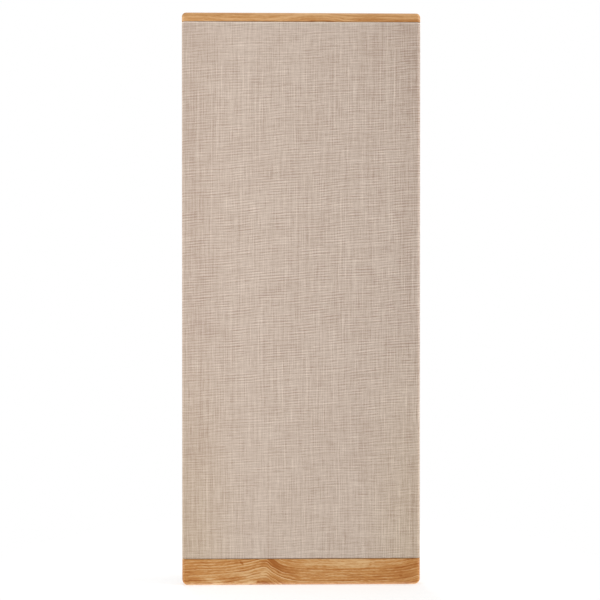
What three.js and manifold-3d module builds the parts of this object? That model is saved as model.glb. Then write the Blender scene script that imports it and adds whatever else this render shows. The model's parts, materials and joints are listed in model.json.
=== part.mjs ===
// A linen memo board: a linen-covered pinning panel between two solid oak rails, hung by two swinging rings.
// Millimetres, +Z up. The front faces -Y and the back lies on the wall plane, Y = 0.
// The origin is the middle of the top rail's rear face.
import * as THREE from 'three';
import { mergeGeometries, mergeVertices } from 'three/addons/utils/BufferGeometryUtils.js';
import Module from 'manifold-3d';

const wasm = await Module();
wasm.setup();

// The board as a whole
const BOARD_WIDTH = 500;
const BOARD_HEIGHT = 1200;
const EDGE_ROUND = 8; // the roundover along the front edge, all the way round
const TOP_FACE_CORNER = 1; // the radius of the flat front face at the top corners, inside the roundover
const BOTTOM_FACE_CORNER = 4.5; // the same at the bottom corners
const SEAT = 0.3; // the gap that each piece keeps to the one it sits on

// The oak rails
const TOP_RAIL_HEIGHT = 19;
const BOTTOM_RAIL_HEIGHT = 55;
const RAIL_PROUD = 0.5; // how far the rails stand in front of the linen
const SHADOW_GAP = 1; // the dark line between each rail and the linen

// The panel, from the front to the back
const LINEN_THICKNESS = 0.8;
const CORE_THICKNESS = 12;
const BACKING_THICKNESS = 6;
const TURN_OVER = 28; // the strip of linen that is folded onto the back

// The tongues of the backing board, and the screws that pin them in the rails' grooves
const TONGUE_SHOULDER = 30; // from the end of a rail to the end of its tongue
const TOP_TONGUE = 10;
const BOTTOM_TONGUE = 22;
const RAIL_SCREW_COUNT = 4;
const RAIL_SCREW_END_MARGIN = 40; // from the end of a tongue to its outermost screw
const RAIL_SCREW_SUNK = 0.2; // how far a screw's head lies below the rail's rear face
const RAIL_SCREW_BITE = 6; // how far a screw goes past the tongue
const RAIL_SCREW_RADIUS = 1.75;
const RAIL_SCREW_HEAD_RADIUS = 3.5;
const RAIL_SCREW_HEAD_RIM = 0.3;

// The hangers
const HANGER_INSET = 80; // from the side of the board to the middle of a hanger
const HANGER_DROP = 100; // from the top of the board to the hinge of a ring
const WIRE_RADIUS = 1.2;
const RING_WIDTH = 20; // between the middles of the ring's two legs
const RING_CORNER = 3;
const RING_LEG = 4;
const RING_END_GAP = 0.4; // where the ends of the bent wire meet, inside the strap's loop
const LOOP_PLAY = 0.3; // between the wire and the loop that it turns in
const LOOP_SIDE_PLAY = 0.5; // between the ends of the loop and the corners of the ring
const LOOP_WALL = 0.7;
const STRAP_THICKNESS = 1.5;
const STRAP_TAIL = 20; // how far the strap reaches below the ring when the ring is down
const HANGER_WALL_CLEARANCE = 1.4;
const HANGER_SCREW_RADIUS = 1.5;
const HANGER_SCREW_BITE = 4; // how far a screw goes past the backing board
const PAN_HEAD_RADIUS = 2.9;
const PAN_HEAD_HEIGHT = 1.6;
const PAN_HEAD_RIM = 0.8;

// Screws of both kinds
const SCREW_TIP = 2.5;
const RECESS_ARM = 1.7; // half the length of the cross in a screw's head
const RECESS_WIDTH = 0.9;
const RECESS_DEPTH = 1.1;

// The staples
const STAPLES_PER_SIDE = 16;
const STAPLE_END_MARGIN = 30; // from the end of the panel to its first staple
const STAPLE_CROWN = 10;
const STAPLE_WIRE = 1.1;
const STAPLE_WIRE_THICKNESS = 0.6;
const STAPLE_STOP = 1.4; // the wood left in front of a staple's legs

// Facets
const CORNER_SEGMENTS = 6;
const SCREW_SEGMENTS = 16;
const WIRE_SEGMENTS = 8;
const LOOP_SEGMENTS = 24;
const RING_STEPS = 44;
const PAST = 1; // how far a cutter runs past the face that it cuts
const SAME_POINT = 1e-4; // corners of a mesh closer than this are one corner

// Heights
const TOP = TOP_RAIL_HEIGHT / 2;
const BOTTOM = TOP - BOARD_HEIGHT;
const TOP_RAIL_LOW = TOP - TOP_RAIL_HEIGHT;
const BOTTOM_RAIL_HIGH = BOTTOM + BOTTOM_RAIL_HEIGHT;
const PANEL_TOP = TOP_RAIL_LOW - SHADOW_GAP;
const PANEL_BOTTOM = BOTTOM_RAIL_HIGH + SHADOW_GAP;
const CORE_TOP = PANEL_TOP - LINEN_THICKNESS - SEAT;
const CORE_BOTTOM = PANEL_BOTTOM + LINEN_THICKNESS + SEAT;
const TOP_TONGUE_END = TOP_RAIL_LOW + TOP_TONGUE;
const BOTTOM_TONGUE_END = BOTTOM_RAIL_HIGH - BOTTOM_TONGUE;
const TOP_SCREW_Z = TOP_RAIL_LOW + TOP_TONGUE / 2;
const BOTTOM_SCREW_Z = BOTTOM_RAIL_HIGH - BOTTOM_TONGUE / 2;

// Half widths
const HALF_BOARD = BOARD_WIDTH / 2;
const HALF_CORE = HALF_BOARD - LINEN_THICKNESS - SEAT;
const HALF_TONGUE = HALF_BOARD - TONGUE_SHOULDER;

// The hangers' depth sets the room behind the panel, and so the depth of the rails.
const LOOP_BORE = WIRE_RADIUS + LOOP_PLAY;
const LOOP_RADIUS = LOOP_BORE + LOOP_WALL;
const HINGE_OFFSET = SEAT + LOOP_RADIUS; // from the back of the backing board
const REAR_RECESS = HINGE_OFFSET + LOOP_RADIUS + HANGER_WALL_CLEARANCE;

// Depths, from the wall to the front
const BACKING_BACK = -REAR_RECESS;
const BACKING_FRONT = BACKING_BACK - BACKING_THICKNESS;
const CORE_BACK = BACKING_FRONT - SEAT;
const CORE_FRONT = CORE_BACK - CORE_THICKNESS;
const LINEN_FRONT = CORE_FRONT - SEAT - LINEN_THICKNESS;
const FLAP_FRONT = BACKING_BACK + SEAT;
const FLAP_BACK = FLAP_FRONT + LINEN_THICKNESS;
const RAIL_DEPTH = RAIL_PROUD - LINEN_FRONT;
const PANEL_ROUND = Math.min(EDGE_ROUND, LINEN_THICKNESS + SEAT + CORE_THICKNESS);
const FOLD_RADIUS = LINEN_THICKNESS + SEAT;

// The ring and the strap
const RING_REACH = RING_CORNER + RING_LEG + RING_WIDTH / 2;
const RING_LEAN = Math.asin((HINGE_OFFSET - WIRE_RADIUS - SEAT) / RING_REACH);
const STRAP_WIDTH = RING_WIDTH - 2 * RING_CORNER - 2 * LOOP_SIDE_PLAY;
const STRAP_LENGTH = RING_REACH + WIRE_RADIUS + STRAP_TAIL;
const STRAP_BACK = SEAT + STRAP_THICKNESS; // from the back of the backing board
const UPPER_SCREW_DROP = (LOOP_RADIUS + RING_REACH - WIRE_RADIUS) / 2; // the middle of the ring's eye
const LOWER_SCREW_DROP = STRAP_LENGTH - STRAP_WIDTH / 2;
const HANGER_X = HALF_BOARD - HANGER_INSET;
const HANGER_Z = TOP - HANGER_DROP;

// Screw lengths
const RAIL_SCREW_LENGTH = -RAIL_SCREW_SUNK - (BACKING_FRONT - RAIL_SCREW_BITE);
const HANGER_SCREW_LENGTH = STRAP_BACK + SEAT + BACKING_THICKNESS + HANGER_SCREW_BITE;

// Staples
const STAPLE_X = HALF_BOARD - TURN_OVER / 2;
const STAPLE_BACK = FLAP_BACK + SEAT + STAPLE_WIRE_THICKNESS;
const STAPLE_DEPTH = STAPLE_BACK - (BACKING_FRONT + STAPLE_STOP);

const LINEN = new THREE.MeshStandardMaterial({ color: 0xc4b2a3, roughness: 0.95 });
const OAK = new THREE.MeshStandardMaterial({ color: 0xbe8955, roughness: 0.5 });
const SOFTBOARD = new THREE.MeshStandardMaterial({ color: 0x9a7b55, roughness: 0.95 });
const PLYWOOD = new THREE.MeshStandardMaterial({ color: 0xd9bd8f, roughness: 0.6 });
const ZINC = new THREE.MeshStandardMaterial({ color: 0xb9bcc0, roughness: 0.35, metalness: 1 });
const STEEL_WIRE = new THREE.MeshStandardMaterial({ color: 0xc6c8ca, roughness: 0.3, metalness: 1 });

// A closed geometry as a solid that can be joined and cut
function solid(geometry) {
  const bare = geometry.index ? geometry.toNonIndexed() : geometry.clone();
  bare.deleteAttribute('normal');
  bare.deleteAttribute('uv');
  const merged = mergeVertices(bare, SAME_POINT);
  const mesh = new wasm.Mesh({
    numProp: 3,
    vertProperties: merged.attributes.position.array,
    triVerts: new Uint32Array(merged.index.array),
  });
  return new wasm.Manifold(mesh);
}

function geometryOf(body) {
  const mesh = body.getMesh();
  const geometry = new THREE.BufferGeometry();
  geometry.setAttribute('position', new THREE.BufferAttribute(mesh.vertProperties, 3));
  geometry.setIndex(new THREE.BufferAttribute(mesh.triVerts, 1));
  geometry.computeVertexNormals();
  return geometry;
}

// A box between two values on each axis
function block([x0, x1], [y0, y1], [z0, z1]) {
  const box = new THREE.BoxGeometry(x1 - x0, y1 - y0, z1 - z0);
  return box.translate((x0 + x1) / 2, (y0 + y1) / 2, (z0 + z1) / 2);
}

// A round bar along Y, from a front to a back
function barAlongY(radius, front, back) {
  const bar = new THREE.CylinderGeometry(radius, radius, back - front, SCREW_SEGMENTS);
  return bar.translate(0, (front + back) / 2, 0);
}

// Places spread evenly from one end to the other
function spread(first, last, count) {
  const step = (last - first) / (count - 1);
  return Array.from({ length: count }, (_, i) => first + i * step);
}

// The outline of the panel seen from above: rounded at the front, and folded at the back
function panelOutline(half, front, back, frontRadius, backRadius) {
  const outline = new THREE.Shape();
  outline.moveTo(half - frontRadius, front);
  outline.absarc(half - frontRadius, front + frontRadius, frontRadius, -Math.PI / 2, 0);
  outline.absarc(half - backRadius, back - backRadius, backRadius, 0, Math.PI / 2);
  outline.absarc(-half + backRadius, back - backRadius, backRadius, Math.PI / 2, Math.PI);
  outline.absarc(-half + frontRadius, front + frontRadius, frontRadius, Math.PI, Math.PI * 1.5);
  outline.closePath();
  return outline;
}

function standing(outline, low, high) {
  const options = { depth: high - low, bevelEnabled: false, curveSegments: CORNER_SEGMENTS };
  return new THREE.ExtrudeGeometry(outline, options).translate(0, 0, low);
}

// The whole board as one rounded slab, which the rails are cut from
function boardSlab() {
  const upper = EDGE_ROUND + TOP_FACE_CORNER;
  const lower = EDGE_ROUND + BOTTOM_FACE_CORNER;
  const outline = new THREE.Shape();
  outline.absarc(HALF_BOARD - lower, BOTTOM + lower, lower, -Math.PI / 2, 0);
  outline.absarc(HALF_BOARD - upper, TOP - upper, upper, 0, Math.PI / 2);
  outline.absarc(-HALF_BOARD + upper, TOP - upper, upper, Math.PI / 2, Math.PI);
  outline.absarc(-HALF_BOARD + lower, BOTTOM + lower, lower, Math.PI, Math.PI * 1.5);
  outline.closePath();
  const slab = new THREE.ExtrudeGeometry(outline, {
    depth: RAIL_DEPTH - EDGE_ROUND,
    bevelThickness: EDGE_ROUND,
    bevelSize: EDGE_ROUND,
    bevelOffset: -EDGE_ROUND,
    bevelSegments: CORNER_SEGMENTS,
    curveSegments: CORNER_SEGMENTS,
  });
  return slab.rotateX(Math.PI / 2);
}

// A rail with its groove for a tongue and its screw holes
function rail(low, high, grooveLow, grooveHigh, screwZ) {
  const halfWidth = HALF_BOARD + PAST;
  const stock = block([-halfWidth, halfWidth], [-RAIL_DEPTH - PAST, 0], [low, high]);
  const groove = block(
    [-HALF_TONGUE - SEAT, HALF_TONGUE + SEAT],
    [BACKING_FRONT - SEAT, BACKING_BACK + SEAT],
    [grooveLow, grooveHigh],
  );
  let body = solid(boardSlab()).intersect(solid(stock)).subtract(solid(groove));
  for (const x of railScrewPlaces()) {
    body = body.subtract(solid(railScrewHole().translate(x, -RAIL_SCREW_SUNK, screwZ)));
  }
  return geometryOf(body);
}

function railScrewPlaces() {
  const end = HALF_TONGUE - RAIL_SCREW_END_MARGIN;
  return spread(-end, end, RAIL_SCREW_COUNT);
}

// The countersunk screw, its head at the origin and its tip towards -Y
function railScrewProfile(clearance) {
  const head = RAIL_SCREW_HEAD_RADIUS + clearance;
  const shank = RAIL_SCREW_RADIUS + clearance;
  const rim = RAIL_SCREW_HEAD_RIM + clearance;
  const neck = rim + head - shank;
  const length = RAIL_SCREW_LENGTH + clearance;
  return [[shank, -length + SCREW_TIP], [shank, -neck], [head, -rim]];
}

function railScrew() {
  const points = [[0, -RAIL_SCREW_LENGTH], ...railScrewProfile(0), [RAIL_SCREW_HEAD_RADIUS, 0], [0, 0]];
  return withRecess(turned(points), 0);
}

function railScrewHole() {
  const head = RAIL_SCREW_HEAD_RADIUS + SEAT;
  const length = RAIL_SCREW_LENGTH + SEAT;
  return turned([[0, -length], ...railScrewProfile(SEAT), [head, PAST], [0, PAST]]);
}

// The pan-head screw, the underside of its head at the origin and its tip towards -Y
function hangerScrew() {
  const crown = PAN_HEAD_HEIGHT - PAN_HEAD_RIM;
  const points = [
    [0, -HANGER_SCREW_LENGTH],
    [HANGER_SCREW_RADIUS, -HANGER_SCREW_LENGTH + SCREW_TIP],
    [HANGER_SCREW_RADIUS, 0],
    [PAN_HEAD_RADIUS, 0],
    [PAN_HEAD_RADIUS, PAN_HEAD_RIM],
    [PAN_HEAD_RADIUS - crown, PAN_HEAD_HEIGHT],
    [0, PAN_HEAD_HEIGHT],
  ];
  return withRecess(turned(points), PAN_HEAD_HEIGHT);
}

function turned(points) {
  const profile = points.map(([radius, y]) => new THREE.Vector2(radius, y));
  return new THREE.LatheGeometry(profile, SCREW_SEGMENTS);
}

// A screw with the cross for a screwdriver cut in the top of its head
function withRecess(screw, top) {
  const slot = [-RECESS_WIDTH / 2, RECESS_WIDTH / 2];
  const arm = [-RECESS_ARM, RECESS_ARM];
  const depth = [top - RECESS_DEPTH, top + PAST];
  const cross = solid(block(arm, depth, slot)).add(solid(block(slot, depth, arm)));
  return geometryOf(solid(screw).subtract(cross));
}

function pinCore() {
  const round = PANEL_ROUND - LINEN_THICKNESS - SEAT;
  const outline = panelOutline(HALF_CORE, CORE_FRONT, CORE_BACK, round, 0);
  let body = solid(standing(outline, CORE_BOTTOM, CORE_TOP));
  for (const [x, z] of hangerScrewPlaces()) {
    body = body.subtract(solid(hangerScrewHole().translate(x, 0, z)));
  }
  return geometryOf(body);
}

function backingBoard() {
  const corners = [
    [HALF_CORE, CORE_BOTTOM],
    [HALF_CORE, CORE_TOP],
    [HALF_TONGUE, CORE_TOP],
    [HALF_TONGUE, TOP_TONGUE_END],
    [-HALF_TONGUE, TOP_TONGUE_END],
    [-HALF_TONGUE, CORE_TOP],
    [-HALF_CORE, CORE_TOP],
    [-HALF_CORE, CORE_BOTTOM],
    [-HALF_TONGUE, CORE_BOTTOM],
    [-HALF_TONGUE, BOTTOM_TONGUE_END],
    [HALF_TONGUE, BOTTOM_TONGUE_END],
    [HALF_TONGUE, CORE_BOTTOM],
  ];
  const outline = new THREE.Shape(corners.map(([x, z]) => new THREE.Vector2(x, z)));
  const sheet = new THREE.ExtrudeGeometry(outline, { depth: BACKING_THICKNESS, bevelEnabled: false });
  sheet.rotateX(Math.PI / 2).translate(0, BACKING_BACK, 0);
  let body = solid(sheet).subtract(solid(stapleSlots()));
  const bar = barAlongY(RAIL_SCREW_RADIUS + SEAT, BACKING_FRONT - PAST, BACKING_BACK + PAST);
  for (const x of railScrewPlaces()) {
    for (const z of [TOP_SCREW_Z, BOTTOM_SCREW_Z]) {
      body = body.subtract(solid(bar.clone().translate(x, 0, z)));
    }
  }
  for (const [x, z] of hangerScrewPlaces()) {
    body = body.subtract(solid(hangerScrewHole().translate(x, 0, z)));
  }
  return geometryOf(body);
}

// The linen: a tray over the front, the sides and the core's two ends, with a flap on the back of each side
function linenCover() {
  const outer = panelOutline(HALF_BOARD, LINEN_FRONT, FLAP_BACK, PANEL_ROUND, FOLD_RADIUS);
  const insideRound = PANEL_ROUND - LINEN_THICKNESS;
  const inside = panelOutline(
    HALF_BOARD - LINEN_THICKNESS,
    LINEN_FRONT + LINEN_THICKNESS,
    FLAP_FRONT,
    insideRound,
    FOLD_RADIUS - LINEN_THICKNESS,
  );
  const window = HALF_BOARD - TURN_OVER;
  const allHeights = [PANEL_BOTTOM - PAST, PANEL_TOP + PAST];
  const hollow = standing(inside, PANEL_BOTTOM + LINEN_THICKNESS, PANEL_TOP - LINEN_THICKNESS);
  const rear = block([-window, window], [FLAP_FRONT - PAST / 2, 0], allHeights);
  const tongueWay = block([-HALF_TONGUE - SEAT, HALF_TONGUE + SEAT], [BACKING_FRONT - SEAT, 0], allHeights);
  const body = solid(standing(outer, PANEL_BOTTOM, PANEL_TOP))
    .subtract(solid(hollow))
    .subtract(solid(rear))
    .subtract(solid(tongueWay))
    .subtract(solid(stapleSlots()));
  return geometryOf(body);
}

// Where the hangers' screws go through the backing board, as [x, z]
function hangerScrewPlaces() {
  const places = [];
  for (const x of [-HANGER_X, HANGER_X]) {
    places.push([x, HANGER_Z - UPPER_SCREW_DROP]);
    places.push([x, HANGER_Z - LOWER_SCREW_DROP]);
  }
  return places;
}

function hangerScrewHole() {
  const front = BACKING_FRONT - HANGER_SCREW_BITE - SEAT;
  return barAlongY(HANGER_SCREW_RADIUS + SEAT, front, BACKING_BACK + PAST);
}

// The strap, its hinge line above the origin, which lies on the back of the backing board
function hangerStrap() {
  const half = STRAP_WIDTH / 2;
  const plate = new THREE.Shape();
  plate.moveTo(half, 0);
  plate.lineTo(-half, 0);
  plate.absarc(0, -STRAP_LENGTH + half, half, Math.PI, Math.PI * 2);
  plate.closePath();
  for (const drop of [UPPER_SCREW_DROP, LOWER_SCREW_DROP]) {
    const hole = new THREE.Path();
    hole.absarc(0, -drop, HANGER_SCREW_RADIUS + SEAT, 0, Math.PI * 2);
    plate.holes.push(hole);
  }
  const options = { depth: STRAP_THICKNESS, bevelEnabled: false, curveSegments: SCREW_SEGMENTS / 2 };
  const sheet = new THREE.ExtrudeGeometry(plate, options).rotateX(Math.PI / 2).translate(0, STRAP_BACK, 0);
  const loop = hingeBar(LOOP_RADIUS, STRAP_WIDTH);
  const bore = hingeBar(LOOP_BORE, STRAP_WIDTH + 2 * PAST);
  return geometryOf(solid(sheet).add(solid(loop)).subtract(solid(bore)));
}

// A round bar on the hinge line of a strap
function hingeBar(radius, length) {
  const bar = new THREE.CylinderGeometry(radius, radius, length, LOOP_SEGMENTS);
  return bar.rotateZ(Math.PI / 2).translate(0, HINGE_OFFSET, 0);
}

// The ring: one bent wire, whose ends meet in the strap's loop, standing up from its hinge line
function hangerRing() {
  const halfWidth = RING_WIDTH / 2;
  const shoulder = halfWidth - RING_CORNER;
  const springing = RING_CORNER + RING_LEG;
  const wire = new THREE.CurvePath();
  wire.add(straight([RING_END_GAP / 2, 0], [shoulder, 0]));
  wire.add(new BendCurve([shoulder, RING_CORNER], RING_CORNER, -Math.PI / 2, 0));
  wire.add(straight([halfWidth, RING_CORNER], [halfWidth, springing]));
  wire.add(new BendCurve([0, springing], halfWidth, 0, Math.PI));
  wire.add(straight([-halfWidth, springing], [-halfWidth, RING_CORNER]));
  wire.add(new BendCurve([-shoulder, RING_CORNER], RING_CORNER, Math.PI, Math.PI * 1.5));
  wire.add(straight([-shoulder, 0], [-RING_END_GAP / 2, 0]));
  const section = new THREE.Shape();
  section.absarc(0, 0, WIRE_RADIUS, 0, Math.PI * 2);
  const options = { steps: RING_STEPS, curveSegments: WIRE_SEGMENTS / 2, extrudePath: wire };
  return new THREE.ExtrudeGeometry(section, options);
}

function straight([x0, z0], [x1, z1]) {
  return new THREE.LineCurve3(new THREE.Vector3(x0, 0, z0), new THREE.Vector3(x1, 0, z1));
}

// A round bend in the XZ plane
class BendCurve extends THREE.Curve {
  constructor([x, z], radius, from, to) {
    super();
    this.centre = new THREE.Vector3(x, 0, z);
    this.radius = radius;
    this.from = from;
    this.to = to;
  }

  getPoint(t, target = new THREE.Vector3()) {
    const angle = this.from + t * (this.to - this.from);
    target.set(Math.cos(angle), 0, Math.sin(angle));
    return target.multiplyScalar(this.radius).add(this.centre);
  }
}

// The staple, its crown upright with its back at the origin, and its legs towards -Y
function staple() {
  const half = STAPLE_CROWN / 2;
  const inner = half - STAPLE_WIRE_THICKNESS;
  const corners = [
    [-half, 0],
    [-half, -STAPLE_DEPTH],
    [-inner, -STAPLE_DEPTH],
    [-inner, -STAPLE_WIRE_THICKNESS],
    [inner, -STAPLE_WIRE_THICKNESS],
    [inner, -STAPLE_DEPTH],
    [half, -STAPLE_DEPTH],
    [half, 0],
  ];
  const outline = new THREE.Shape(corners.map(([x, y]) => new THREE.Vector2(x, y)));
  const wire = new THREE.ExtrudeGeometry(outline, { depth: STAPLE_WIRE, bevelEnabled: false });
  return wire.translate(0, 0, -STAPLE_WIRE / 2).rotateY(-Math.PI / 2);
}

function stapleHeights() {
  return spread(PANEL_TOP - STAPLE_END_MARGIN, PANEL_BOTTOM + STAPLE_END_MARGIN, STAPLES_PER_SIDE);
}

// The slits that the staples' legs make in the linen and the backing board
function stapleSlots() {
  const halfSlot = STAPLE_WIRE / 2 + SEAT;
  const outer = STAPLE_CROWN / 2 + SEAT;
  const inner = STAPLE_CROWN / 2 - STAPLE_WIRE_THICKNESS - SEAT;
  const depth = [STAPLE_BACK - STAPLE_DEPTH - SEAT, FLAP_BACK + PAST];
  const slots = [];
  for (const x of [-STAPLE_X, STAPLE_X]) {
    for (const z of stapleHeights()) {
      slots.push(block([x - halfSlot, x + halfSlot], depth, [z + inner, z + outer]));
      slots.push(block([x - halfSlot, x + halfSlot], depth, [z - outer, z - inner]));
    }
  }
  return mergeGeometries(slots);
}

function piece(name, geometry, material) {
  const mesh = new THREE.Mesh(geometry, material);
  mesh.name = name;
  return mesh;
}

function addRailScrews(name, z) {
  railScrewPlaces().forEach((x, i) => {
    const screw = piece(`${name}_screw_${i + 1}`, railScrew(), ZINC);
    screw.position.set(x, -RAIL_SCREW_SUNK, z);
    board.add(screw);
  });
}

function addHanger(side, x) {
  const hanger = new THREE.Group();
  hanger.position.set(x, BACKING_BACK, HANGER_Z);
  hanger.add(piece(`${side}_hanger_strap`, hangerStrap(), ZINC));
  const ring = piece(`${side}_hanger_ring`, hangerRing(), ZINC);
  ring.position.y = HINGE_OFFSET;
  ring.rotation.x = RING_LEAN;
  hanger.add(ring);
  for (const [place, drop] of [['upper', UPPER_SCREW_DROP], ['lower', LOWER_SCREW_DROP]]) {
    const screw = piece(`${side}_hanger_screw_${place}`, hangerScrew(), ZINC);
    screw.position.set(0, STRAP_BACK + SEAT, -drop);
    hanger.add(screw);
  }
  board.add(hanger);
}

function addStaples(side, x) {
  stapleHeights().forEach((z, i) => {
    const number = String(i + 1).padStart(2, '0');
    const wire = piece(`${side}_staple_${number}`, staple(), STEEL_WIRE);
    wire.position.set(x, STAPLE_BACK, z);
    board.add(wire);
  });
}

const board = new THREE.Group();
const topRail = rail(TOP_RAIL_LOW, TOP + PAST, TOP_RAIL_LOW - PAST, TOP_TONGUE_END + SEAT, TOP_SCREW_Z);
const bottomRail = rail(
  BOTTOM - PAST,
  BOTTOM_RAIL_HIGH,
  BOTTOM_TONGUE_END - SEAT,
  BOTTOM_RAIL_HIGH + PAST,
  BOTTOM_SCREW_Z,
);
board.add(piece('top_rail', topRail, OAK));
board.add(piece('bottom_rail', bottomRail, OAK));
board.add(piece('linen_cover', linenCover(), LINEN));
board.add(piece('pin_core', pinCore(), SOFTBOARD));
board.add(piece('backing_board', backingBoard(), PLYWOOD));
addRailScrews('top_rail', TOP_SCREW_Z);
addRailScrews('bottom_rail', BOTTOM_SCREW_Z);
addHanger('left', -HANGER_X);
addHanger('right', HANGER_X);
addStaples('left', -STAPLE_X);
addStaples('right', STAPLE_X);

export default board;
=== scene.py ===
# The linen memo board in its finished look: stretched linen, rounded oak rails and the hardware behind.
# Metres, +Z up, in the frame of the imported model: the front faces -Y and the wall plane is Y = 0.
import json
import math

import bmesh
import bpy
import numpy as np
from mathutils import Euler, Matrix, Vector


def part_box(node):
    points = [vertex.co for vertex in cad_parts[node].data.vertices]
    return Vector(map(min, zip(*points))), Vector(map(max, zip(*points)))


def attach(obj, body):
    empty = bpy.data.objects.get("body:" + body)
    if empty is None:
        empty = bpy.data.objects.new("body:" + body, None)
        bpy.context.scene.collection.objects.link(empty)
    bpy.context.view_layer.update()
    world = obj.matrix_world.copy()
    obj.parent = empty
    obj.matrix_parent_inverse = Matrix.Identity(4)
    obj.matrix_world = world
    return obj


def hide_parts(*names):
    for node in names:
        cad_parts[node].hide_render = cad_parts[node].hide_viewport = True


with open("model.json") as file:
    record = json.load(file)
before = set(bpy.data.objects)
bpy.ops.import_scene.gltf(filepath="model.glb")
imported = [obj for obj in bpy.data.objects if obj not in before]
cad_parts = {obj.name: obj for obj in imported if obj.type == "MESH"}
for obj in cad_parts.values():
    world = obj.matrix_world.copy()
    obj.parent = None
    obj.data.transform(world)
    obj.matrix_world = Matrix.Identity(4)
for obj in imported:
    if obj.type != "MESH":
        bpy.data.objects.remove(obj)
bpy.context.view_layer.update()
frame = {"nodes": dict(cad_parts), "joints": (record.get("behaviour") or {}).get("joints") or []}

MM = 0.001

# The photograph's view
VIEW_DISTANCE = 2.3  # from the lens to the rails' front
VIEW_SIDE = -0.0431
VIEW_HEIGHT = -0.5745
VIEW_YAW = -1.005
VIEW_PITCH = -0.435
VIEW_FOCAL_MM = 65.92

# Places taken from the frame
LINEN_LOW, LINEN_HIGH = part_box("linen_cover")
BOARD_LOW, BOARD_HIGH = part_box("bottom_rail")[0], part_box("top_rail")[1]
MIDDLE = (BOARD_LOW + BOARD_HIGH) / 2

# The linen sheet, with the sizes of its CAD solid
EDGE_ROUND = 8 * MM
EDGE_STEPS = 10
FOLD_RADIUS = 1.1 * MM
FOLD_STEPS = 4
TURN_OVER = 28 * MM
LINEN_THICKNESS = 0.8 * MM
END_TURN = 12 * MM  # how deep the ends are tucked between the core and the rails
CORNER_TURN = 6 * MM  # the same at the rounded edges and the sides
TUCK_STEPS = 3
CUT_WAVE = 1.5 * MM  # how far the hand-cut edges of the flaps wander
CUT_LENGTH = 23 * MM
CUT_SWELL = 61 * MM
SHEET_STEP = 4.2 * MM

# The weave
YARN_PITCH_MM = 0.8
THICK_PICKS_MM = 5.64
THICK_ENDS_MM = 5.1
CLEAREST = 0.44  # where the picks show clearest, as a share of the way down
OWN_SHIFT = 1.618  # sets each thread's slubs apart from its neighbours'

# The oak
RING_MM = 6.0
FIGURE_SPAN_MM = 600.0
FIGURE_REACH_MM = 60.0
HEART_REACH_MM = 60.0
BOTTOM_LOG_MM = -1169.5  # the height in its log that each rail was cut at
TOP_LOG_MM = 0.0

# How far sharp edges are eased
RAIL_ARRIS = 0.6 * MM
STRAP_ARRIS = 0.25 * MM
SCREW_ARRIS = 0.12 * MM
STAPLE_ARRIS = 0.18 * MM
WELD = 0.001 * MM
FLAT_ANGLE = math.radians(0.5)  # faces that meet at less than this are one face
SHARP_ANGLE = math.radians(40)  # edges that turn by more than this are eased

# The hanger rings' wire
WIRE_RADIUS = 1.2 * MM
RING_CORNER = 3 * MM
RING_STEP = 2 * MM

# The studio
WORLD_LIGHT = 0.509
FLOOR_RADIUS = 0.8
FLOOR_TONE = 0.5
FLOOR_GLOW = 0.44
WHITE = (1, 1, 1, 1)


def srgb(red, green, blue):
    """A colour as it looks on screen, in the linear values that Blender works with."""
    def linear(value):
        value /= 255
        return value / 12.92 if value <= 0.04045 else ((value + 0.055) / 1.055) ** 2.4
    return (linear(red), linear(green), linear(blue), 1)


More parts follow.
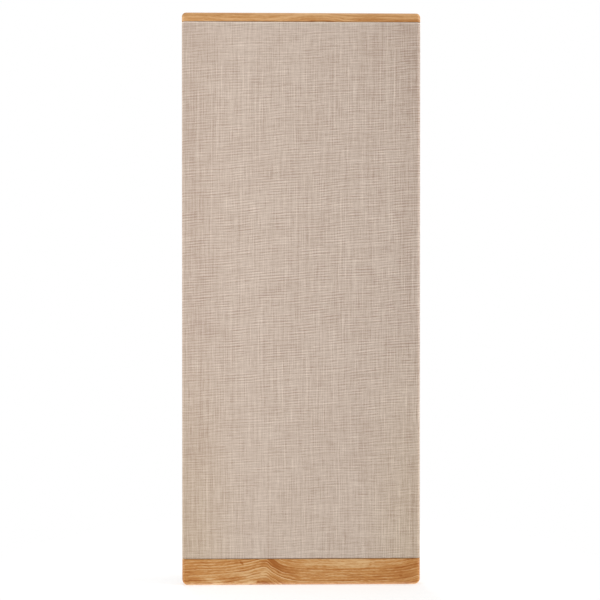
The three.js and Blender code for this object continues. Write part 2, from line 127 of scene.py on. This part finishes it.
class Graph:
    """A material's node tree, with a short method for each kind of node that the materials use."""

    # A Mix node's sockets for colours: the share and both colours, and the result
    MIX_INPUTS = (0, 6, 7)
    MIX_RESULT = 2

    def __init__(self, name):
        self.material = bpy.data.materials.new(name)
        self.material.use_nodes = True
        self.tree = self.material.node_tree
        self.shader = self.tree.nodes["Principled BSDF"]

    def put(self, socket, value):
        if isinstance(value, bpy.types.NodeSocket):
            self.tree.links.new(value, socket)
        else:
            socket.default_value = value

    def node(self, kind, inputs=(), **settings):
        made = self.tree.nodes.new(kind)
        for name, value in settings.items():
            setattr(made, name, value)
        for name, value in dict(inputs).items():
            self.put(made.inputs[name], value)
        return made

    def surface(self, **sockets):
        for name, value in sockets.items():
            self.put(self.shader.inputs[name.replace("_", " ").title().replace("Ior", "IOR")], value)

    def math(self, operation, *values):
        made = self.node("ShaderNodeMath", operation=operation)
        for socket, value in zip(made.inputs, values):
            self.put(socket, value)
        return made.outputs[0]

    def add(self, *values):
        total = values[0]
        for value in values[1:]:
            total = self.math("ADD", total, value)
        return total

    def times(self, *values):
        total = values[0]
        for value in values[1:]:
            total = self.math("MULTIPLY", total, value)
        return total

    def absolute(self, value):
        return self.math("ABSOLUTE", value)

    def place_mm(self):
        """The point's place in its piece's own frame, in millimetres, as x, y and z."""
        point = self.node("ShaderNodeTexCoord").outputs["Object"]
        return self.split(point, 1 / MM)

    def split(self, vector, scale):
        scaled = self.node("ShaderNodeVectorMath", {"Vector": vector, "Scale": scale}, operation="SCALE")
        parts = self.node("ShaderNodeSeparateXYZ", {"Vector": scaled.outputs[0]})
        return parts.outputs

    def vector(self, x=0.0, y=0.0, z=0.0):
        return self.node("ShaderNodeCombineXYZ", {"X": x, "Y": y, "Z": z}).outputs[0]

    def noise(self, *axes, detail=1.0):
        """Noise around 0, about -0.5 to 0.5, on up to three axes.

        An axis is a place with the length that the noise changes over, or a bare value, such as a seed.
        """
        scaled = [self.times(axis[0], 1 / axis[1]) if isinstance(axis, tuple) else axis for axis in axes]
        inputs = {"Vector": self.vector(*scaled), "Scale": 1.0, "Detail": detail}
        return self.add(self.node("ShaderNodeTexNoise", inputs).outputs["Fac"], -0.5)

    def ramp(self, value, low, high, to_low=0.0, to_high=1.0, smooth=True):
        made = self.node(
            "ShaderNodeMapRange",
            {"Value": value, "From Min": low, "From Max": high, "To Min": to_low, "To Max": to_high},
            interpolation_type="SMOOTHSTEP" if smooth else "LINEAR",
        )
        return made.outputs[0]

    def blend(self, share, first, second, way="MIX"):
        made = self.node("ShaderNodeMix", data_type="RGBA", blend_type=way)
        for socket, value in zip(self.MIX_INPUTS, (share, first, second)):
            self.put(made.inputs[socket], value)
        return made.outputs[self.MIX_RESULT]

    def tint(self, colour, factor):
        """The colour made lighter or darker by a factor."""
        grey = self.node("ShaderNodeCombineColor", {"Red": factor, "Green": factor, "Blue": factor})
        return self.blend(1.0, colour, grey.outputs[0], way="MULTIPLY")

    def chance(self, number):
        """A random value from 0 to 1 for each whole number."""
        return self.node("ShaderNodeTexWhiteNoise", {"W": number}, noise_dimensions="1D").outputs["Value"]

    def curve(self, value, points, span, reach):
        """A smooth line through the points, which lie within span and reach around 0."""
        share = self.ramp(value, -span / 2, span / 2, smooth=False)
        made = self.node("ShaderNodeFloatCurve", {"Value": share})
        places = made.mapping.curves[0].points
        given = len(places)
        for i, (place, height) in enumerate(points):
            spot = (place / span + 0.5, height / reach + 0.5)
            if i < given:
                places[i].location = spot
            else:
                places.new(*spot)
        made.mapping.update()
        return self.times(self.add(made.outputs[0], -0.5), reach)

    def spot(self, x, z, place, reach, slope, strength):
        """A soft sloping spot around a place, as strong as strength in its middle."""
        across = self.add(x, -place[0])
        up = self.add(z, -place[1], self.times(across, -slope))
        far_across = self.times(across, 1 / reach[0])
        far_up = self.times(up, 1 / reach[1])
        square = self.add(self.times(far_across, far_across), self.times(far_up, far_up))
        return self.times(self.math("POWER", math.e, self.times(square, -1.0)), strength)

    def bump(self, height, distance):
        made = self.node("ShaderNodeBump", {"Height": height, "Distance": distance})
        return made.outputs[0]


def linen_weave(g, across, up):
    """The weave at a place on the cloth: its thicker threads, each thread's tone and the crossings.

    Picks are the threads that run across, and ends those that run up and down. Places are in mm, across from
    the cloth's middle and up from the top rail's.
    """
    clearest = (LINEN_HIGH.z - CLEAREST * (LINEN_HIGH.z - LINEN_LOW.z)) / MM
    clear = g.ramp(g.absolute(g.add(up, -clearest)), 60.0, 650.0, 1.0, 0.0)
    # Threads wander, and the picks rise to the right, most of all where they show clearest
    rise = g.times(across, g.add(g.times(clear, -0.05), -0.03))
    wander_up = g.times(g.noise((across, 130), (up, 200)), 8.0)
    wander_across = g.times(g.noise((across, 150), (up, 220), 7.0), 5.0)
    pick = g.add(up, rise, wander_up)
    end = g.add(across, wander_across)
    # Thicker threads follow at nearly even steps, which shows as fine lines
    pick_jitter = g.times(g.noise((across, 120), (pick, 11)), 4.2)
    pick_patch = g.ramp(g.noise((across, 30), (up, 24), 3.0), -0.2, 0.2, 0.2, 1.0)
    pick_lines = g.math("SINE", g.add(g.times(pick, 2 * math.pi / THICK_PICKS_MM), pick_jitter))
    thick_picks = g.times(pick_lines, pick_patch, g.add(g.times(clear, 0.6), 0.4))
    end_jitter = g.times(g.noise((up, 120), (end, 6), 8.0), 12.0)
    end_patch = g.ramp(g.noise((across, 24), (up, 40), 9.0), -0.2, 0.2, 0.2, 1.0)
    end_lines = g.math("SINE", g.add(g.times(end, 2 * math.pi / THICK_ENDS_MM), end_jitter))
    thick = g.add(thick_picks, g.times(end_lines, end_patch, 0.4))
    # Each thread has slubs, long and short, and shows where it lies on top
    pick_number = g.math("FLOOR", g.times(pick, 1 / YARN_PITCH_MM))
    end_number = g.math("FLOOR", g.times(end, 1 / YARN_PITCH_MM))
    own_pick = g.times(pick_number, OWN_SHIFT)
    own_end = g.times(end_number, OWN_SHIFT)
    weft = g.add(
        g.times(g.noise(own_pick, (across, 90), 1.0), 0.97),
        g.times(g.noise(own_pick, (across, 20), 2.0), 1.05),
    )
    long_end = g.noise(own_end, (up, 300), 4.0)
    warp = g.add(
        g.times(long_end, 0.85),
        g.times(g.math("MAXIMUM", g.add(long_end, -0.1), 0.0), 1.6),
        g.times(g.noise(own_end, (up, 34), 5.0), 1.1),
        -0.06,
    )
    weft_on_top = g.math("FLOORED_MODULO", g.add(pick_number, end_number), 2.0)
    thread = g.add(warp, g.times(weft_on_top, g.math("SUBTRACT", weft, warp)))
    # The crossings are round
    end_swell = g.math("SINE", g.times(end, math.pi / YARN_PITCH_MM))
    pick_swell = g.math("SINE", g.times(pick, math.pi / YARN_PITCH_MM))
    pillow = g.math("SQRT", g.absolute(g.times(end_swell, pick_swell)))
    return thick, thread, pillow


def linen_shade(g, across, up, thick, thread):
    """How light the cloth is at a place, around 0."""
    side = LINEN_HIGH.x / MM
    # The weave shows more towards the right
    lively = g.ramp(across, -side, side, 0.87, 1.07, smooth=False)
    weave = g.times(g.add(g.times(thick, 0.18), thread), lively)
    patch = g.noise((across, 60), (up, 60), 6.0, detail=2.0)
    # Painted shade darkens the cloth towards its long edges, more on the left, and in its top right corner;
    # a painted highlight makes it paler at the top fold; and a painted light gradient makes its upper part
    # lighter on the left and darker on the right
    edge = g.ramp(g.absolute(g.add(across, -25.0)), 165.0, 260.0)
    # Painted highlight: the cloth is paler at the top fold
    fold = g.ramp(g.add(up, -LINEN_HIGH.z / MM), -3.4, -1.2)
    # Painted light gradient: the upper part is lighter on the left and darker on the right
    painted_light_tilt = g.times(across, g.ramp(up, -900.0, -100.0, smooth=False), -0.02 / side)
    # Painted shade in the top right corner
    painted_corner_shade = g.spot(across, up, place=(200.0, -45.0), reach=(80.0, 110.0), slope=0.0, strength=-0.045)
    return g.add(weave, g.times(patch, 0.12), g.times(edge, -0.09), g.times(fold, 0.5), painted_light_tilt, painted_corner_shade)


def linen_colour(g, across, up, shade):
    """Greige, and yellower towards the lower corners."""
    share = g.ramp(shade, -0.5, 0.5, smooth=False)
    plain = g.blend(share, srgb(151, 124, 107), srgb(236, 222, 208))
    yellow = g.blend(share, srgb(151, 122, 95), srgb(236, 220, 193))
    low = g.ramp(up, -650.0, -1140.0, smooth=False)
    outside = g.ramp(g.absolute(across), 100.0, LINEN_HIGH.x / MM, 0.12, 0.57)
    return g.blend(g.times(low, outside), plain, yellow)


def linen_material():
    g = Graph("linen")
    flat = g.node("ShaderNodeUVMap", uv_map="cloth").outputs[0]
    across, up, _ = g.split(flat, 1 / MM)
    thick, thread, pillow = linen_weave(g, across, up)
    shade = linen_shade(g, across, up, thick, thread)
    height = g.add(pillow, g.times(thick, 0.3), g.times(thread, 0.5))
    # pillow darkens the colour in the gaps between the threads and lightens it on their crowns: painted
    # shade and a painted highlight on the weave
    g.surface(
        base_color=g.tint(linen_colour(g, across, up, shade), g.ramp(pillow, 0.0, 1.0, 0.82, 1.08)),
        roughness=g.ramp(shade, -0.3, 0.3, 0.85, 0.7),
        normal=g.bump(height, 0.12 * MM),
        sheen_weight=0.03,
        sheen_roughness=0.5,
        specular_ior_level=0.15,
    )
    return g.material


def oak_rings(g, x, y, grain):
    """Growth rings, each with its own tone, a broken row of dark pores first and a pale line last."""
    uneven = g.times(g.noise((grain, 13), 3.0), 1.6)
    ring = g.add(g.times(grain, 1 / RING_MM), uneven)
    share = g.math("FRACT", ring)
    number = g.math("FLOOR", ring)
    own_tone = g.add(g.chance(number), -0.5)
    broken = g.noise((x, 7), (y, 1.2), (grain, 1.2))
    pore_row = g.times(
        g.ramp(share, 0.0, 0.4, 1.0, 0.0),
        g.add(g.chance(g.add(number, 40.0)), 0.3),
        g.ramp(broken, -0.15, 0.15, 0.3, 1.4),
    )
    pale_line = g.times(
        g.ramp(share, 0.55, 0.8), g.ramp(share, 0.85, 1.0, 1.0, 0.0), g.chance(g.add(number, 80.0))
    )
    fade = g.ramp(g.noise((x, 50), (y, 15), (grain, 9)), -0.22, 0.22, 0.35, 1.2)
    rings = g.add(g.times(own_tone, 0.4), g.times(pore_row, 0.5), g.times(pale_line, -0.6))
    return g.times(rings, fade)


def oak_material(node, log_mm, figure, heart, colours, stains):
    """Oak with its growth rings bent by a figure: heights in mm at places along the rail in mm.

    The height in the log that the rail was cut at sets which rings it shows. They show most around the
    heart, a place from the rail's middle in mm. The colours go from light to dark. Each stain is a darker
    spot, or a paler one where its strength is below 0. It has its place and its reach, along and up the
    rail in mm, its slope and its strength.
    """
    g = Graph(node + "_oak")
    x, y, z = g.place_mm()
    low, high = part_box(node)
    up = g.add(z, -(low.z + high.z) / 2 / MM)
    z = g.add(up, log_mm)
    lift = g.curve(x, figure, FIGURE_SPAN_MM, FIGURE_REACH_MM)
    wobble = g.times(g.noise((x, 55), (y, 20), (z, 14), detail=2.0), 6.0)
    ragged = g.times(g.noise((x, 5), (y, 1.0), (z, 0.8), detail=2.0), 1.6)
    grain = g.add(z, g.times(lift, -1.0), g.times(y, 0.45), wobble, ragged)
    lively = g.add(g.spot(x, up, heart, (HEART_REACH_MM, HEART_REACH_MM), slope=0.0, strength=0.8), 0.75)
    rings = g.times(oak_rings(g, x, y, grain), lively)
    streak = g.noise((x, 40), (y, 3), (grain, 2.6))
    fibre = g.noise((x, 8), (y, 1.4), (grain, 1.4), detail=2.0)
    pores = g.ramp(g.noise((x, 6), (y, 0.4), (grain, 0.4)), 0.12, 0.26)
    broad = g.noise((x, 60), (y, 40), (z, 25), detail=2.0)
    tone = g.add(rings, g.times(streak, 0.8), fibre, g.times(broad, 0.5), 0.5)
    for stain in stains:
        tone = g.add(tone, g.spot(x, up, *stain))
    light, middle, dark = colours
    colour = g.blend(g.ramp(tone, 0.0, 0.5, smooth=False), light, middle)
    colour = g.blend(g.ramp(tone, 0.5, 1.1, smooth=False), colour, dark)
    g.surface(
        base_color=g.tint(colour, g.ramp(pores, 0.0, 1.0, 1.0, 0.8)),
        roughness=g.ramp(fibre, -0.3, 0.3, 0.5, 0.62),
        normal=g.bump(g.add(g.times(fibre, 0.4), g.times(pores, -1.0)), 0.06 * MM),
        specular_ior_level=0.35,
    )
    return g.material


def bottom_oak():
    """A cathedral left of the middle, a dark stain on its right slope, paler patches and small knots."""
    figure = [
        (-300, -2), (-250, 0), (-160, 4), (-118, 9.5), (-91, 16), (-78, 18), (-71, 16), (-65, 10.5),
        (-55, 4), (-45, -2), (-34, -6.3), (-23, -8.5), (-2, -11), (40, -12.5), (86, -12.7), (135, -12),
        (176, -10.5), (208, -8), (229, -4.5), (246, -0.5), (300, 10),
    ]
    stains = [
        ((-57, 17.5), (13, 7), -0.85, 1.0),
        ((-77, -0.5), (14, 8), 0.3, -0.45),
        ((-32, 3.5), (28, 5), -0.6, 0.32),
        ((215, 1.5), (45, 30), 0.0, 0.18),
        ((-225, -16.5), (24, 6), 0.0, 0.3),
        ((-190, -15.5), (22, 5), -0.2, -0.45),
        ((-140, -17.5), (20, 5), 0.2, 0.35),
        ((-75, -20.5), (22, 4), -0.1, 0.45),
        ((100, 17.5), (70, 10), 0.0, -0.34),
        ((-115, 1.5), (38, 26), 0.0, -0.24),
        ((-112, -6.0), (16, 3.5), 0.0, -0.5),
        ((-105, -20.0), (12, 3), 0.0, -0.5),
    ]
    knots = [
        ((-125, 20.0), (3.0, 2.2), -0.6, 1.4),
        ((-90, -20.5), (3.0, 2.0), 0.0, 1.4),
        ((145, 15.5), (2.6, 1.6), 0.0, 0.5),
        ((209, -8.5), (2.0, 1.4), 0.0, 0.8),
    ]
    colours = srgb(211, 171, 121), srgb(185, 128, 67), srgb(154, 88, 24)
    heart = (-65, 0)
    return oak_material("bottom_rail", BOTTOM_LOG_MM, figure, heart, colours, stains + knots)


def top_oak():
    """A low arch right of the middle, paler along both slopes, with darker wood under it."""
    figure = [
        (-300, 0), (-250, 0), (-224, 2), (-198, 1), (-160, -3), (-108, -4), (-65, -3), (-34, 0),
        (-2, 4), (38, 8), (72, 5), (103, 1), (145, 0), (250, 0),
    ]
    stains = [
        ((-230, 0), (120, 40), 0.0, 0.18),
        ((-235, -6), (45, 8), 0.0, -0.25),
        ((42, -7), (45, 5.5), 0.0, 0.3),
        ((-20, -0.5), (45, 3), 0.145, -0.35),
        ((63, -1), (45, 3), -0.16, -0.35),
        ((160, 0), (80, 40), 0.0, 0.1),
        ((195, -8), (90, 7), 0.0, 0.36),
    ]
    colours = srgb(208, 163, 113), srgb(188, 138, 84), srgb(163, 106, 50)
    heart = (25, 0)
    return oak_material("top_rail", TOP_LOG_MM, figure, heart, colours, stains)


def plywood_material():
    """Rotary-cut birch, with its grain upright."""
    g = Graph("birch_plywood")
    x, y, z = g.place_mm()
    drift = g.add(
        g.times(g.noise((x, 110), (z, 420)), 150.0),
        g.times(g.noise((x, 35), (z, 130), 2.0), 16.0),
    )
    figure = g.noise((g.add(x, drift), 14), (z, 900), detail=2.0)
    fibre = g.noise((x, 0.7), (y, 0.7), (z, 28), detail=2.0)
    fleck = g.ramp(g.noise((x, 0.45), (y, 0.45), (z, 5)), 0.19, 0.3)
    tone = g.add(g.times(figure, 1.2), g.times(fibre, 0.7), 0.5)
    colour = g.blend(g.ramp(tone, 0.0, 1.0), srgb(230, 208, 172), srgb(205, 174, 131))
    g.surface(
        base_color=g.tint(colour, g.ramp(fleck, 0.0, 1.0, 1.0, 0.8)),
        roughness=g.ramp(fibre, -0.3, 0.3, 0.55, 0.7),
        normal=g.bump(g.add(fibre, g.times(fleck, -0.6)), 0.05 * MM),
        specular_ior_level=0.3,
    )
    return g.material


def softboard_material():
    """Brown pressed fibre."""
    g = Graph("softboard")
    x, y, z = g.place_mm()
    fibre = g.noise((x, 1.5), (y, 0.6), (z, 1.5), detail=4.0)
    colour = g.blend(g.ramp(fibre, -0.3, 0.3), srgb(128, 100, 66), srgb(176, 146, 104))
    g.surface(base_color=colour, roughness=0.95, normal=g.bump(fibre, 0.3 * MM))
    return g.material


def steel_material(name, colour, rough):
    """Plated steel with faint clouds, and fine scratches up and down."""
    g = Graph(name)
    x, y, z = g.place_mm()
    cloud = g.noise((x, 4), (y, 4), (z, 4), detail=3.0)
    scratch = g.noise((x, 0.2), (y, 0.2), (z, 5))
    clouded = g.blend(g.ramp(cloud, -0.3, 0.3), colour, srgb(205, 203, 192))
    g.surface(
        base_color=g.tint(clouded, g.add(1.0, scratch)),
        metallic=1.0,
        roughness=g.ramp(cloud, -0.3, 0.3, rough, rough + 0.15),
        normal=g.bump(scratch, 0.01 * MM),
    )
    return g.material


def new_piece(name, mesh, material, body, node):
    piece = bpy.data.objects.new(name, mesh)
    bpy.context.scene.collection.objects.link(piece)
    mesh.materials.clear()
    mesh.materials.append(material)
    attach(piece, body)
    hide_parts(node)
    return piece


def mesh_of(name, source, prepare=None):
    """The final mesh of a curve, or of a mesh with the modifiers that prepare puts on its holder."""
    holder = bpy.data.objects.new(name, source)
    bpy.context.scene.collection.objects.link(holder)
    if prepare:
        prepare(holder)
    graph = bpy.context.evaluated_depsgraph_get()
    mesh = bpy.data.meshes.new_from_object(holder.evaluated_get(graph))
    bpy.data.objects.remove(holder)
    return mesh


def eased(node, arris):
    """A copy of a CAD node's mesh with its sharp edges eased and its round faces shaded smooth."""
    work = bmesh.new()
    work.from_mesh(frame["nodes"][node].data)
    bmesh.ops.remove_doubles(work, verts=work.verts, dist=WELD)
    bmesh.ops.dissolve_limit(work, angle_limit=FLAT_ANGLE, verts=work.verts, edges=work.edges)
    edges = [edge for edge in work.edges if edge.calc_face_angle(0) > SHARP_ANGLE]
    bmesh.ops.bevel(
        work, geom=edges, offset=arris, segments=2, profile=0.5, affect="EDGES", clamp_overlap=True
    )
    mesh = bpy.data.meshes.new(node + "_eased")
    work.to_mesh(mesh)
    work.free()
    mesh.polygons.foreach_set("use_smooth", [True] * len(mesh.polygons))
    mesh.set_sharp_from_angle(angle=SHARP_ANGLE)
    return mesh


def arc(centre, radius, start, stop, steps):
    angles = np.radians(np.linspace(start, stop, steps + 1))
    return np.stack([centre[0] + radius * np.cos(angles), centre[1] + radius * np.sin(angles)], axis=1)


def line(start, stop, step):
    count = max(1, math.ceil(math.dist(start, stop) / step))
    return np.linspace(start, stop, count + 1)


def linen_section():
    """The sheet's outer line seen from above, from flap to flap, and how deep its ends are tucked in."""
    half, front, back = LINEN_HIGH.x, LINEN_LOW.y, LINEN_HIGH.y
    parts = [
        (line((0, front), (half - EDGE_ROUND, front), SHEET_STEP), END_TURN),
        (arc((half - EDGE_ROUND, front + EDGE_ROUND), EDGE_ROUND, -90, 0, EDGE_STEPS), CORNER_TURN),
        (line((half, front + EDGE_ROUND), (half, back - FOLD_RADIUS), SHEET_STEP), CORNER_TURN),
        (arc((half - FOLD_RADIUS, back - FOLD_RADIUS), FOLD_RADIUS, 0, 90, FOLD_STEPS), 0),
        (line((half - FOLD_RADIUS, back), (half - TURN_OVER, back), SHEET_STEP), 0),
    ]
    last_part, last_turn = parts[-1]
    points = np.concatenate([part[:-1] for part, _ in parts] + [last_part[-1:]])
    turns = np.concatenate([np.full(len(part) - 1, turn) for part, turn in parts] + [[last_turn]])
    points = np.concatenate([points[:0:-1] * (-1, 1), points])
    turns = np.concatenate([turns[:0:-1], turns])
    return points, turns


def linen_rows():
    """The sheet's rows from its lower end to its upper one.

    A row has its height, how far it lies inward as a share of the fold and of the turn, and its place on
    the cloth.
    """
    low, high = LINEN_LOW.z + FOLD_RADIUS, LINEN_HIGH.z - FOLD_RADIUS
    heights = np.linspace(low, high, math.ceil((high - low) / SHEET_STEP) + 1)
    bends = np.radians(np.linspace(0, 90, FOLD_STEPS + 1)[1:])
    tucks = np.linspace(0, 1, TUCK_STEPS + 1)[1:]
    upper = [
        (high + FOLD_RADIUS * math.sin(bend), 1 - math.cos(bend), 0.0, high + FOLD_RADIUS * bend)
        for bend in bends
    ]
    bent = high + FOLD_RADIUS * bends[-1]
    upper += [(high + FOLD_RADIUS, 1.0, tuck, bent + END_TURN * tuck) for tuck in tucks]
    lower = [(low + high - z, fold, tuck, low + high - v) for z, fold, tuck, v in reversed(upper)]
    return lower + [(z, 0.0, 0.0, z) for z in heights] + upper


def linen_mesh():
    """The linen as one sheet, wrapped round the panel and tucked in at its ends."""
    points, turns = linen_section()
    rows = linen_rows()
    steps = np.linalg.norm(np.diff(points, axis=0), axis=1)
    across = np.concatenate([[0], np.cumsum(steps)])
    across -= across[-1] / 2
    along = np.gradient(points, axis=0)
    along /= np.linalg.norm(along, axis=1)[:, None]
    inward = np.stack([-along[:, 1], along[:, 0]], axis=1)
    width, length = across[-1] - across[0], rows[-1][3] - rows[0][3]
    turned = (turns > 0).astype(float)
    flap = np.clip((across[-1] - np.abs(across)) / TURN_OVER, 0, 1)
    work = bmesh.new()
    flat = work.loops.layers.uv.new("cloth")
    filled = work.loops.layers.uv.new("OFBake")
    grid = []
    for z, fold, tuck, _ in rows:
        shift = FOLD_RADIUS * fold * turned + np.maximum(turns - FOLD_RADIUS, 0) * tuck
        place = points + inward * shift[:, None]
        wave = CUT_WAVE * np.sin(z / CUT_LENGTH + np.sign(across)) * np.cos(z / CUT_SWELL)
        place[:, 0] += wave * (1 - flap)
        grid.append([work.verts.new((px, py, z)) for px, py in place])
    for j in range(len(rows) - 1):
        tucked = rows[j][2] > 0 or rows[j + 1][2] > 0
        for i in range(len(points) - 1):
            if tucked and (turns[i] == 0 or turns[i + 1] == 0):
                continue
            corners = [(i, j), (i + 1, j), (i + 1, j + 1), (i, j + 1)]
            face = work.faces.new([grid[b][a] for a, b in corners])
            face.smooth = True
            for loop, (a, b) in zip(face.loops, corners):
                loop[flat].uv = (across[a], rows[b][3])
                loop[filled].uv = (across[a] / width + 0.5, (rows[b][3] - rows[0][3]) / length)
    stray = [vert for vert in work.verts if not vert.link_faces]
    bmesh.ops.delete(work, geom=stray, context="VERTS")
    mesh = bpy.data.meshes.new("linen")
    work.to_mesh(mesh)
    work.free()
    return mesh, width, length


def thicken(holder):
    """Makes the linen a thin closed body, with its outer face kept."""
    solid = holder.modifiers.new("thickness", "SOLIDIFY")
    solid.thickness = LINEN_THICKNESS
    solid.offset = -1


def make_linen():
    sheet, width, length = linen_mesh()
    mesh = mesh_of("sheet", sheet, thicken)
    piece = new_piece("linen_sheet", mesh, linen_material(), "board", "linen_cover")


def make_rails():
    for node, oak in (("bottom_rail", bottom_oak()), ("top_rail", top_oak())):
        new_piece(node + "_oak", eased(node, RAIL_ARRIS), oak, "board", node)


def ring_mesh(node, hinge):
    """A bent wire ring with the size and lean of its CAD node."""
    low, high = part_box(node)
    half = (high.x - low.x) / 2 - WIRE_RADIUS
    tip = Vector((0, low.y + WIRE_RADIUS - hinge.y, high.z - WIRE_RADIUS - hinge.z))
    spring = tip.length - half
    flat = np.concatenate([
        line((0, 0), (half - RING_CORNER, 0), RING_STEP)[:-1],
        arc((half - RING_CORNER, RING_CORNER), RING_CORNER, -90, 0, steps=8)[:-1],
        line((half, RING_CORNER), (half, spring), RING_STEP)[:-1],
        arc((0, spring), half, 0, 90, steps=16),
    ])
    flat = np.concatenate([flat, flat[-2::-1] * (-1, 1)])[:-1]
    up = tip.normalized()
    curve = bpy.data.curves.new(node + "_wire", "CURVE")
    curve.dimensions = "3D"
    curve.bevel_depth = WIRE_RADIUS
    curve.bevel_resolution = 6
    spline = curve.splines.new("POLY")
    spline.points.add(len(flat) - 1)
    spline.use_cyclic_u = True
    for point, (across, along) in zip(spline.points, flat):
        point.co = (*(hinge + Vector((across, 0, 0)) + up * along), 1)
    mesh = mesh_of(node + "_wire", curve)
    mesh.polygons.foreach_set("use_smooth", [True] * len(mesh.polygons))
    return mesh


def make_hardware():
    zinc = steel_material("zinc_plate", srgb(186, 189, 193), rough=0.32)
    wire = steel_material("staple_wire", srgb(196, 198, 200), rough=0.25)
    for node in frame["nodes"]:
        if "screw" in node:
            new_piece(node + "_turned", eased(node, SCREW_ARRIS), zinc, "board", node)
        elif "strap" in node:
            new_piece(node + "_folded", eased(node, STRAP_ARRIS), zinc, "board", node)
        elif "staple" in node:
            new_piece(node + "_wire", eased(node, STAPLE_ARRIS), wire, "board", node)
    for joint in frame["joints"]:
        body = joint["child"]
        node = body.replace("_ring", "_hanger_ring")
        mesh = ring_mesh(node, Vector(joint["pos_m"]))
        new_piece(node + "_bent", mesh, zinc, body, node)


def make_inner_boards():
    for node, material in (("backing_board", plywood_material()), ("pin_core", softboard_material())):
        mesh = frame["nodes"][node].data
        mesh.materials.clear()
        mesh.materials.append(material)


def make_camera():
    data = bpy.data.cameras.new("camera")
    data.lens = VIEW_FOCAL_MM
    camera = bpy.data.objects.new("camera", data)
    camera.location = (VIEW_SIDE, BOARD_LOW.y - VIEW_DISTANCE, VIEW_HEIGHT)
    camera.rotation_euler = Euler((math.radians(90 + VIEW_PITCH), 0, math.radians(VIEW_YAW)))
    bpy.context.scene.collection.objects.link(camera)
    bpy.context.scene.camera = camera


def area_light(name, place, size, power):
    """A round soft lamp that faces the middle of the board."""
    data = bpy.data.lights.new(name, "AREA")
    data.shape = "DISK"
    data.size = size
    data.energy = power
    lamp = bpy.data.objects.new(name, data)
    lamp.location = place
    lamp.rotation_euler = (MIDDLE - Vector(place)).to_track_quat("-Z", "Y").to_euler()
    bpy.context.scene.collection.objects.link(lamp)


def sun_light(name, azimuth, elevation, spread, strength):
    """Parallel light from the right of the front by azimuth, and from above by elevation, in degrees."""
    data = bpy.data.lights.new(name, "SUN")
    data.energy = strength
    data.angle = math.radians(spread)
    lamp = bpy.data.objects.new(name, data)
    lamp.rotation_euler = Euler((math.radians(90 - elevation), 0, math.radians(azimuth)))
    bpy.context.scene.collection.objects.link(lamp)


def seen_directly(tree):
    """1 for what the camera, a reflection or a clear piece sees, and 0 for light on the object."""
    path = tree.nodes.new("ShaderNodeLightPath")
    total = path.outputs["Is Camera Ray"]
    for name in ("Is Glossy Ray", "Is Transmission Ray"):
        either = tree.nodes.new("ShaderNodeMath")
        either.operation = "MAXIMUM"
        tree.links.new(total, either.inputs[0])
        tree.links.new(path.outputs[name], either.inputs[1])
        total = either.outputs[0]
    return total


def make_world():
    """White where it is seen, and a softer light on the object."""
    world = bpy.data.worlds.new("studio")
    world.use_nodes = True
    tree = world.node_tree
    background = tree.nodes["Background"]
    background.inputs["Color"].default_value = WHITE
    strength = tree.nodes.new("ShaderNodeMapRange")
    strength.inputs["To Min"].default_value = WORLD_LIGHT
    tree.links.new(seen_directly(tree), strength.inputs["Value"])
    tree.links.new(strength.outputs[0], background.inputs["Strength"])
    bpy.context.scene.world = world


def floor_material():
    """A pale floor that keeps the shadow, fades into the white background and is clear from below."""
    g = Graph("floor")
    x, y, _ = g.place_mm()
    away = g.math("SQRT", g.add(g.times(x, x), g.times(y, y)))
    fade = g.ramp(away, 0.3 * FLOOR_RADIUS / MM, 0.95 * FLOOR_RADIUS / MM)
    from_above = g.math("SUBTRACT", 1.0, g.node("ShaderNodeNewGeometry").outputs["Backfacing"])
    grit = g.noise((x, 30), (y, 30), detail=3.0)
    g.surface(
        base_color=g.tint((FLOOR_TONE, FLOOR_TONE, FLOOR_TONE, 1), g.add(1.0, g.times(grit, 0.01))),
        roughness=0.9,
        emission_color=WHITE,
        emission_strength=FLOOR_GLOW,
        alpha=g.times(seen_directly(g.tree), from_above, g.math("SUBTRACT", 1.0, fade)),
    )
    return g.material


def make_floor():
    work = bmesh.new()
    bmesh.ops.create_circle(work, cap_ends=True, radius=FLOOR_RADIUS, segments=96)
    mesh = bpy.data.meshes.new("floor")
    work.to_mesh(mesh)
    work.free()
    mesh.materials.append(floor_material())
    floor = bpy.data.objects.new("floor", mesh)
    floor.location.z = BOARD_LOW.z
    bpy.context.scene.collection.objects.link(floor)


def make_studio():
    make_world()
    sun_light("key", azimuth=80, elevation=18, spread=14, strength=3.0)
    sun_light("low", azimuth=-10, elevation=-84, spread=20, strength=2.8)
    area_light("left", place=(-1.8, -0.8, -0.6), size=1.2, power=26)
    area_light("top", place=(0.2, -0.4, 2.0), size=1.2, power=12)
    area_light("back", place=(-0.8, 2.8, 0.8), size=1.6, power=45)
    make_floor()


make_camera()
make_linen()
make_rails()
make_hardware()
make_inner_boards()
make_studio()
bpy.context.scene.view_settings.view_transform = "Standard"
